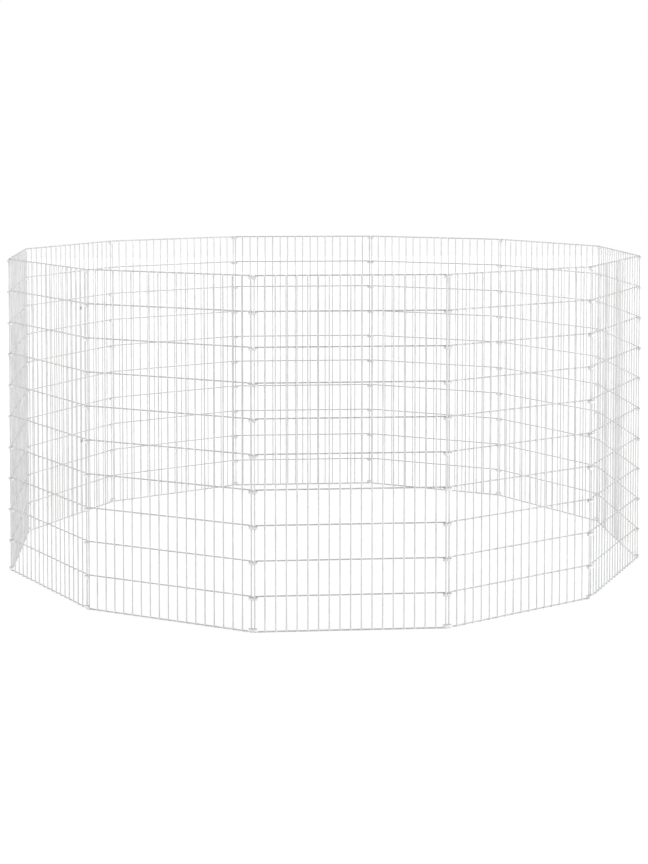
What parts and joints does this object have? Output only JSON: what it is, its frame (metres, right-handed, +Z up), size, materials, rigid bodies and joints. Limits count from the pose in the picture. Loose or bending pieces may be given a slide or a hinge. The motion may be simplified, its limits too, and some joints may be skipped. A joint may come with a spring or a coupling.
{
  "type": "animal pen",
  "caption": "Folding ring pen of tall welded wire mesh panels, linked by metal bands at the corners, with a swinging door panel",
  "frame": {"origin": "middle of the ring on the ground, which is the bottom centre of the box round the closed pen", "axes": "+Z up; -Y out through the middle of panel_02, the front panel; +X to the right seen from the front"},
  "size_m": [2.0552, 2.0552, 1],
  "materials": {
    "zinc_wire": "bright galvanised wire, light grey, satin with a faint spangle",
    "zinc_strip": "galvanised flat strip, light grey, satin"
  },
  "bodies": {
    "panel_01": {"panel_01": "zinc_wire"},
    "panel_02": {"panel_02": "zinc_wire"},
    "panel_03": {"panel_03": "zinc_wire"},
    "panel_04": {"panel_04": "zinc_wire"},
    "panel_05": {"panel_05": "zinc_wire"},
    "panel_06": {"panel_06": "zinc_wire"},
    "panel_07": {"panel_07": "zinc_wire"},
    "panel_08": {"panel_08": "zinc_wire"},
    "panel_09": {"panel_09": "zinc_wire"},
    "panel_10": {"panel_10": "zinc_wire"},
    "panel_11": {"panel_11": "zinc_wire"},
    "panel_12": {"panel_12": "zinc_wire", "corner_12_hook_bottom": "zinc_strip", "corner_12_hook_lower": "zinc_strip", "corner_12_hook_upper": "zinc_strip", "corner_12_hook_top": "zinc_strip"},
    "corner_01_bands": {"corner_01_band_bottom": "zinc_strip", "corner_01_band_lower": "zinc_strip", "corner_01_band_upper": "zinc_strip", "corner_01_band_top": "zinc_strip"},
    "corner_02_bands": {"corner_02_band_bottom": "zinc_strip", "corner_02_band_lower": "zinc_strip", "corner_02_band_upper": "zinc_strip", "corner_02_band_top": "zinc_strip"},
    "corner_03_bands": {"corner_03_band_bottom": "zinc_strip", "corner_03_band_lower": "zinc_strip", "corner_03_band_upper": "zinc_strip", "corner_03_band_top": "zinc_strip"},
    "corner_04_bands": {"corner_04_band_bottom": "zinc_strip", "corner_04_band_lower": "zinc_strip", "corner_04_band_upper": "zinc_strip", "corner_04_band_top": "zinc_strip"},
    "corner_05_bands": {"corner_05_band_bottom": "zinc_strip", "corner_05_band_lower": "zinc_strip", "corner_05_band_upper": "zinc_strip", "corner_05_band_top": "zinc_strip"},
    "corner_06_bands": {"corner_06_band_bottom": "zinc_strip", "corner_06_band_lower": "zinc_strip", "corner_06_band_upper": "zinc_strip", "corner_06_band_top": "zinc_strip"},
    "corner_07_bands": {"corner_07_band_bottom": "zinc_strip", "corner_07_band_lower": "zinc_strip", "corner_07_band_upper": "zinc_strip", "corner_07_band_top": "zinc_strip"},
    "corner_08_bands": {"corner_08_band_bottom": "zinc_strip", "corner_08_band_lower": "zinc_strip", "corner_08_band_upper": "zinc_strip", "corner_08_band_top": "zinc_strip"},
    "corner_09_bands": {"corner_09_band_bottom": "zinc_strip", "corner_09_band_lower": "zinc_strip", "corner_09_band_upper": "zinc_strip", "corner_09_band_top": "zinc_strip"},
    "corner_10_bands": {"corner_10_band_bottom": "zinc_strip", "corner_10_band_lower": "zinc_strip", "corner_10_band_upper": "zinc_strip", "corner_10_band_top": "zinc_strip"},
    "corner_11_bands": {"corner_11_band_bottom": "zinc_strip", "corner_11_band_lower": "zinc_strip", "corner_11_band_upper": "zinc_strip", "corner_11_band_top": "zinc_strip"}
  },
  "joints": [
    {"name": "fold", "type": "hinge", "parent": "panel_06", "child": "panel_07", "pos_m": [0.74225, 0.74225, 0], "axis": [0, 0, 1], "range_deg": [0, 147]},
    {"name": "corner_06_bands_turn", "type": "hinge", "parent": "panel_06", "child": "corner_06_bands", "pos_m": [0.74934, 0.74256, 0], "axis": [0, 0, 1], "range_deg": [0, 73.5]},
    {"name": "corner_07_fold", "type": "hinge", "parent": "panel_07", "child": "panel_08", "pos_m": [0.27444, 1.02423, 0], "axis": [0, 0, -1], "range_deg": [0, 205.8]},
    {"name": "corner_07_bands_turn", "type": "hinge", "parent": "panel_07", "child": "corner_07_bands", "pos_m": [0.27767, 1.01774, 0], "axis": [0, 0, -1], "range_deg": [0, 102.9]},
    {"name": "corner_08_fold", "type": "hinge", "parent": "panel_08", "child": "panel_09", "pos_m": [-0.27168, 1.01393, 0], "axis": [0, 0, 1], "range_deg": [0, 147]},
    {"name": "corner_08_bands_turn", "type": "hinge", "parent": "panel_08", "child": "corner_08_bands", "pos_m": [-0.2684, 1.02023, 0], "axis": [0, 0, 1], "range_deg": [0, 73.5]},
    {"name": "corner_09_fold", "type": "hinge", "parent": "panel_09", "child": "panel_10", "pos_m": [-0.74979, 0.74979, 0], "axis": [0, 0, -1], "range_deg": [0, 205.8]},
    {"name": "corner_09_bands_turn", "type": "hinge", "parent": "panel_09", "child": "corner_09_bands", "pos_m": [-0.74256, 0.74934, 0], "axis": [0, 0, -1], "range_deg": [0, 102.9]},
    {"name": "corner_10_fold", "type": "hinge", "parent": "panel_10", "child": "panel_11", "pos_m": [-1.01393, 0.27168, 0], "axis": [0, 0, 1], "range_deg": [0, 147]},
    {"name": "corner_10_bands_turn", "type": "hinge", "parent": "panel_10", "child": "corner_10_bands", "pos_m": [-1.01774, 0.27767, 0], "axis": [0, 0, 1], "range_deg": [0, 73.5]},
    {"name": "door_swing", "type": "hinge", "parent": "panel_11", "child": "panel_12", "pos_m": [-1.02423, -0.27444, 0], "axis": [0, 0, -1], "range_deg": [0, 205.8]},
    {"name": "corner_11_bands_turn", "type": "hinge", "parent": "panel_11", "child": "corner_11_bands", "pos_m": [-1.02023, -0.2684, 0], "axis": [0, 0, -1], "range_deg": [0, 102.9]},
    {"name": "corner_05_fold", "type": "hinge", "parent": "panel_06", "child": "panel_05", "pos_m": [1.02423, 0.27444, 0], "axis": [0, 0, 1], "range_deg": [0, 205.8]},
    {"name": "corner_05_bands_turn", "type": "hinge", "parent": "panel_06", "child": "corner_05_bands", "pos_m": [1.01774, 0.27767, 0], "axis": [0, 0, 1], "range_deg": [0, 102.9]},
    {"name": "corner_04_fold", "type": "hinge", "parent": "panel_05", "child": "panel_04", "pos_m": [1.01393, -0.27168, 0], "axis": [0, 0, -1], "range_deg": [0, 147]},
    {"name": "corner_04_bands_turn", "type": "hinge", "parent": "panel_05", "child": "corner_04_bands", "pos_m": [1.02023, -0.2684, 0], "axis": [0, 0, -1], "range_deg": [0, 73.5]},
    {"name": "corner_03_fold", "type": "hinge", "parent": "panel_04", "child": "panel_03", "pos_m": [0.74979, -0.74979, 0], "axis": [0, 0, 1], "range_deg": [0, 205.8]},
    {"name": "corner_03_bands_turn", "type": "hinge", "parent": "panel_04", "child": "corner_03_bands", "pos_m": [0.74934, -0.74256, 0], "axis": [0, 0, 1], "range_deg": [0, 102.9]},
    {"name": "corner_02_fold", "type": "hinge", "parent": "panel_03", "child": "panel_02", "pos_m": [0.27168, -1.01393, 0], "axis": [0, 0, -1], "range_deg": [0, 147]},
    {"name": "corner_02_bands_turn", "type": "hinge", "parent": "panel_03", "child": "corner_02_bands", "pos_m": [0.27767, -1.01774, 0], "axis": [0, 0, -1], "range_deg": [0, 73.5]},
    {"name": "corner_01_fold", "type": "hinge", "parent": "panel_02", "child": "panel_01", "pos_m": [-0.27444, -1.02423, 0], "axis": [0, 0, 1], "range_deg": [0, 205.8]},
    {"name": "corner_01_bands_turn", "type": "hinge", "parent": "panel_02", "child": "corner_01_bands", "pos_m": [-0.2684, -1.02023, 0], "axis": [0, 0, 1], "range_deg": [0, 102.9]}
  ],
  "couplings": [
    {"joint": "corner_06_bands_turn", "follows": "fold", "ratio": 0.5},
    {"joint": "corner_07_fold", "follows": "fold", "ratio": 1.4},
    {"joint": "corner_07_bands_turn", "follows": "fold", "ratio": 0.7},
    {"joint": "corner_08_fold", "follows": "fold", "ratio": 1},
    {"joint": "corner_08_bands_turn", "follows": "fold", "ratio": 0.5},
    {"joint": "corner_09_fold", "follows": "fold", "ratio": 1.4},
    {"joint": "corner_09_bands_turn", "follows": "fold", "ratio": 0.7},
    {"joint": "corner_10_fold", "follows": "fold", "ratio": 1},
    {"joint": "corner_10_bands_turn", "follows": "fold", "ratio": 0.5},
    {"joint": "corner_11_bands_turn", "follows": "door_swing", "ratio": 0.5},
    {"joint": "corner_05_fold", "follows": "fold", "ratio": 1.4},
    {"joint": "corner_05_bands_turn", "follows": "fold", "ratio": 0.7},
    {"joint": "corner_04_fold", "follows": "fold", "ratio": 1},
    {"joint": "corner_04_bands_turn", "follows": "fold", "ratio": 0.5},
    {"joint": "corner_03_fold", "follows": "fold", "ratio": 1.4},
    {"joint": "corner_03_bands_turn", "follows": "fold", "ratio": 0.7},
    {"joint": "corner_02_fold", "follows": "fold", "ratio": 1},
    {"joint": "corner_02_bands_turn", "follows": "fold", "ratio": 0.5},
    {"joint": "corner_01_fold", "follows": "fold", "ratio": 1.4},
    {"joint": "corner_01_bands_turn", "follows": "fold", "ratio": 0.7}
  ]
}
